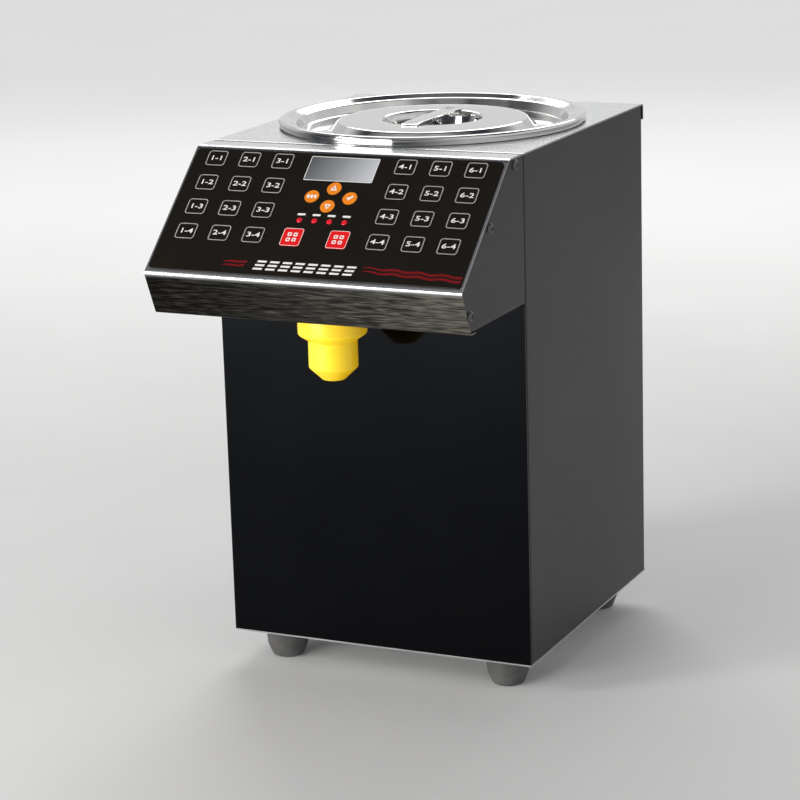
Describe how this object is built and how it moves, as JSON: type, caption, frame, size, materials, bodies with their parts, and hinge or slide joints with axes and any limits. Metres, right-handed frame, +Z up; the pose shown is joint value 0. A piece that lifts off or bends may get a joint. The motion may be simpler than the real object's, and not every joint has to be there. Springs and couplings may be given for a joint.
{
  "type": "fructose dispenser",
  "caption": "Counter-top syrup doser: sheet casing, overhanging sloped keypad head, round lidded tank in the top, gear pump and a nozzle over the cup space.",
  "frame": {"origin": "centre of the footprint's box, on the surface that the feet stand on", "axes": "+X to the right seen from the front, +Y towards the back, +Z up"},
  "size_m": [0.2648, 0.3805, 0.4358],
  "materials": {
    "plain_steel": "bare stainless sheet, satin",
    "dark_steel": "dark coloured stainless, fine brushed, satin",
    "front_gloss": "black coloured stainless, mirror gloss",
    "top_steel": "brushed stainless",
    "fascia_steel": "brushed stainless, darker on the lip",
    "overlay_film": "printed polyester film, satin",
    "display": "clear window over a grey display, gloss",
    "board": "green laminate",
    "lamp_red": "clear red lamp",
    "rubber": "moulded rubber, matt",
    "screw_steel": "plated steel",
    "tank_steel": "polished stainless",
    "silicone": "milky silicone",
    "lid_steel": "polished stainless, spun",
    "band_steel": "band heater sheath",
    "pump_alloy": "machined alloy",
    "gear_brass": "machined brass",
    "motor_paint": "black enamel",
    "yellow_plastic": "moulded yellow plastic, gloss",
    "psu_case": "folded sheet case",
    "black_plastic": "moulded black plastic",
    "rocker_red": "moulded red plastic",
    "key_black": "printed film key, satin",
    "key_orange": "printed film key, satin",
    "key_red": "printed film key, satin"
  },
  "bodies": {
    "root": {"base_pan": "plain_steel", "left_side_panel": "dark_steel", "right_side_panel": "dark_steel", "front_panel": "front_gloss", "rear_panel": "dark_steel", "top_cover": "top_steel", "head_housing": "dark_steel", "control_fascia": "fascia_steel", "keypad_overlay": "overlay_film", "display_window": "display", "control_board": "board", "indicator_lamps": "lamp_red", "feet": "rubber", "screws": "screw_steel", "tank": "tank_steel", "tank_gasket": "silicone", "heater_band": "band_steel", "pump_housing": "pump_alloy", "pump_motor": "motor_paint", "pump_bracket": "plain_steel", "hoses": "silicone", "spout": "plain_steel", "power_supply": "psu_case", "power_inlet": "black_plastic"},
    "lid_body": {"lid": "lid_steel", "lid_handle": "lid_steel"},
    "cap_body": {"nozzle_cap": "yellow_plastic"},
    "drive_gear_body": {"drive_gear": "gear_brass"},
    "idler_gear_body": {"idler_gear": "gear_brass"},
    "rocker_body": {"switch_rocker": "rocker_red"},
    "key_1_1_body": {"key_1_1": "key_black"},
    "key_1_2_body": {"key_1_2": "key_black"},
    "key_1_3_body": {"key_1_3": "key_black"},
    "key_1_4_body": {"key_1_4": "key_black"},
    "key_2_1_body": {"key_2_1": "key_black"},
    "key_2_2_body": {"key_2_2": "key_black"},
    "key_2_3_body": {"key_2_3": "key_black"},
    "key_2_4_body": {"key_2_4": "key_black"},
    "key_3_1_body": {"key_3_1": "key_black"},
    "key_3_2_body": {"key_3_2": "key_black"},
    "key_3_3_body": {"key_3_3": "key_black"},
    "key_3_4_body": {"key_3_4": "key_black"},
    "key_4_1_body": {"key_4_1": "key_black"},
    "key_4_2_body": {"key_4_2": "key_black"},
    "key_4_3_body": {"key_4_3": "key_black"},
    "key_4_4_body": {"key_4_4": "key_black"},
    "key_5_1_body": {"key_5_1": "key_black"},
    "key_5_2_body": {"key_5_2": "key_black"},
    "key_5_3_body": {"key_5_3": "key_black"},
    "key_5_4_body": {"key_5_4": "key_black"},
    "key_6_1_body": {"key_6_1": "key_black"},
    "key_6_2_body": {"key_6_2": "key_black"},
    "key_6_3_body": {"key_6_3": "key_black"},
    "key_6_4_body": {"key_6_4": "key_black"},
    "key_up_body": {"key_up": "key_orange"},
    "key_left_body": {"key_left": "key_orange"},
    "key_right_body": {"key_right": "key_orange"},
    "key_down_body": {"key_down": "key_orange"},
    "key_start_left_body": {"key_start_left": "key_red"},
    "key_start_right_body": {"key_start_right": "key_red"}
  },
  "joints": [
    {"name": "lid_lift", "type": "slide", "parent": "root", "child": "lid_body", "axis": [0, 0, 1], "range_m": [0, 0.12]},
    {"name": "cap_pull", "type": "slide", "parent": "root", "child": "cap_body", "axis": [0, 0, -1], "range_m": [0, 0.06]},
    {"name": "pump_drive", "type": "hinge", "parent": "root", "child": "drive_gear_body", "pos_m": [0, -0.009, 0.0648], "axis": [1, 0, 0], "continuous": true},
    {"name": "idler_spin", "type": "hinge", "parent": "root", "child": "idler_gear_body", "pos_m": [0, -0.009, 0.0956], "axis": [1, 0, 0], "continuous": true},
    {"name": "mains_rocker", "type": "hinge", "parent": "root", "child": "rocker_body", "pos_m": [0.078, 0.1843, 0.0932], "axis": [1, 0, 0], "range_deg": [-18, 0]},
    {"name": "key_1_1_press", "type": "slide", "parent": "root", "child": "key_1_1_body", "axis": [0, 0.6634, -0.7483], "range_m": [0, 0.0004], "stiffness_N_per_m": 400, "springref_m": -0.002},
    {"name": "key_1_2_press", "type": "slide", "parent": "root", "child": "key_1_2_body", "axis": [0, 0.6634, -0.7483], "range_m": [0, 0.0004], "stiffness_N_per_m": 400, "springref_m": -0.002},
    {"name": "key_1_3_press", "type": "slide", "parent": "root", "child": "key_1_3_body", "axis": [0, 0.6634, -0.7483], "range_m": [0, 0.0004], "stiffness_N_per_m": 400, "springref_m": -0.002},
    {"name": "key_1_4_press", "type": "slide", "parent": "root", "child": "key_1_4_body", "axis": [0, 0.6634, -0.7483], "range_m": [0, 0.0004], "stiffness_N_per_m": 400, "springref_m": -0.002},
    {"name": "key_2_1_press", "type": "slide", "parent": "root", "child": "key_2_1_body", "axis": [0, 0.6634, -0.7483], "range_m": [0, 0.0004], "stiffness_N_per_m": 400, "springref_m": -0.002},
    {"name": "key_2_2_press", "type": "slide", "parent": "root", "child": "key_2_2_body", "axis": [0, 0.6634, -0.7483], "range_m": [0, 0.0004], "stiffness_N_per_m": 400, "springref_m": -0.002},
    {"name": "key_2_3_press", "type": "slide", "parent": "root", "child": "key_2_3_body", "axis": [0, 0.6634, -0.7483], "range_m": [0, 0.0004], "stiffness_N_per_m": 400, "springref_m": -0.002},
    {"name": "key_2_4_press", "type": "slide", "parent": "root", "child": "key_2_4_body", "axis": [0, 0.6634, -0.7483], "range_m": [0, 0.0004], "stiffness_N_per_m": 400, "springref_m": -0.002},
    {"name": "key_3_1_press", "type": "slide", "parent": "root", "child": "key_3_1_body", "axis": [0, 0.6634, -0.7483], "range_m": [0, 0.0004], "stiffness_N_per_m": 400, "springref_m": -0.002},
    {"name": "key_3_2_press", "type": "slide", "parent": "root", "child": "key_3_2_body", "axis": [0, 0.6634, -0.7483], "range_m": [0, 0.0004], "stiffness_N_per_m": 400, "springref_m": -0.002},
    {"name": "key_3_3_press", "type": "slide", "parent": "root", "child": "key_3_3_body", "axis": [0, 0.6634, -0.7483], "range_m": [0, 0.0004], "stiffness_N_per_m": 400, "springref_m": -0.002},
    {"name": "key_3_4_press", "type": "slide", "parent": "root", "child": "key_3_4_body", "axis": [0, 0.6634, -0.7483], "range_m": [0, 0.0004], "stiffness_N_per_m": 400, "springref_m": -0.002},
    {"name": "key_4_1_press", "type": "slide", "parent": "root", "child": "key_4_1_body", "axis": [0, 0.6634, -0.7483], "range_m": [0, 0.0004], "stiffness_N_per_m": 400, "springref_m": -0.002},
    {"name": "key_4_2_press", "type": "slide", "parent": "root", "child": "key_4_2_body", "axis": [0, 0.6634, -0.7483], "range_m": [0, 0.0004], "stiffness_N_per_m": 400, "springref_m": -0.002},
    {"name": "key_4_3_press", "type": "slide", "parent": "root", "child": "key_4_3_body", "axis": [0, 0.6634, -0.7483], "range_m": [0, 0.0004], "stiffness_N_per_m": 400, "springref_m": -0.002},
    {"name": "key_4_4_press", "type": "slide", "parent": "root", "child": "key_4_4_body", "axis": [0, 0.6634, -0.7483], "range_m": [0, 0.0004], "stiffness_N_per_m": 400, "springref_m": -0.002},
    {"name": "key_5_1_press", "type": "slide", "parent": "root", "child": "key_5_1_body", "axis": [0, 0.6634, -0.7483], "range_m": [0, 0.0004], "stiffness_N_per_m": 400, "springref_m": -0.002},
    {"name": "key_5_2_press", "type": "slide", "parent": "root", "child": "key_5_2_body", "axis": [0, 0.6634, -0.7483], "range_m": [0, 0.0004], "stiffness_N_per_m": 400, "springref_m": -0.002},
    {"name": "key_5_3_press", "type": "slide", "parent": "root", "child": "key_5_3_body", "axis": [0, 0.6634, -0.7483], "range_m": [0, 0.0004], "stiffness_N_per_m": 400, "springref_m": -0.002},
    {"name": "key_5_4_press", "type": "slide", "parent": "root", "child": "key_5_4_body", "axis": [0, 0.6634, -0.7483], "range_m": [0, 0.0004], "stiffness_N_per_m": 400, "springref_m": -0.002},
    {"name": "key_6_1_press", "type": "slide", "parent": "root", "child": "key_6_1_body", "axis": [0, 0.6634, -0.7483], "range_m": [0, 0.0004], "stiffness_N_per_m": 400, "springref_m": -0.002},
    {"name": "key_6_2_press", "type": "slide", "parent": "root", "child": "key_6_2_body", "axis": [0, 0.6634, -0.7483], "range_m": [0, 0.0004], "stiffness_N_per_m": 400, "springref_m": -0.002},
    {"name": "key_6_3_press", "type": "slide", "parent": "root", "child": "key_6_3_body", "axis": [0, 0.6634, -0.7483], "range_m": [0, 0.0004], "stiffness_N_per_m": 400, "springref_m": -0.002},
    {"name": "key_6_4_press", "type": "slide", "parent": "root", "child": "key_6_4_body", "axis": [0, 0.6634, -0.7483], "range_m": [0, 0.0004], "stiffness_N_per_m": 400, "springref_m": -0.002},
    {"name": "key_up_press", "type": "slide", "parent": "root", "child": "key_up_body", "axis": [0, 0.6634, -0.7483], "range_m": [0, 0.0004], "stiffness_N_per_m": 400, "springref_m": -0.002},
    {"name": "key_left_press", "type": "slide", "parent": "root", "child": "key_left_body", "axis": [0, 0.6634, -0.7483], "range_m": [0, 0.0004], "stiffness_N_per_m": 400, "springref_m": -0.002},
    {"name": "key_right_press", "type": "slide", "parent": "root", "child": "key_right_body", "axis": [0, 0.6634, -0.7483], "range_m": [0, 0.0004], "stiffness_N_per_m": 400, "springref_m": -0.002},
    {"name": "key_down_press", "type": "slide", "parent": "root", "child": "key_down_body", "axis": [0, 0.6634, -0.7483], "range_m": [0, 0.0004], "stiffness_N_per_m": 400, "springref_m": -0.002},
    {"name": "key_start_left_press", "type": "slide", "parent": "root", "child": "key_start_left_body", "axis": [0, 0.6634, -0.7483], "range_m": [0, 0.0004], "stiffness_N_per_m": 400, "springref_m": -0.002},
    {"name": "key_start_right_press", "type": "slide", "parent": "root", "child": "key_start_right_body", "axis": [0, 0.6634, -0.7483], "range_m": [0, 0.0004], "stiffness_N_per_m": 400, "springref_m": -0.002}
  ],
  "couplings": [
    {"joint": "idler_spin", "follows": "pump_drive", "ratio": -1}
  ]
}
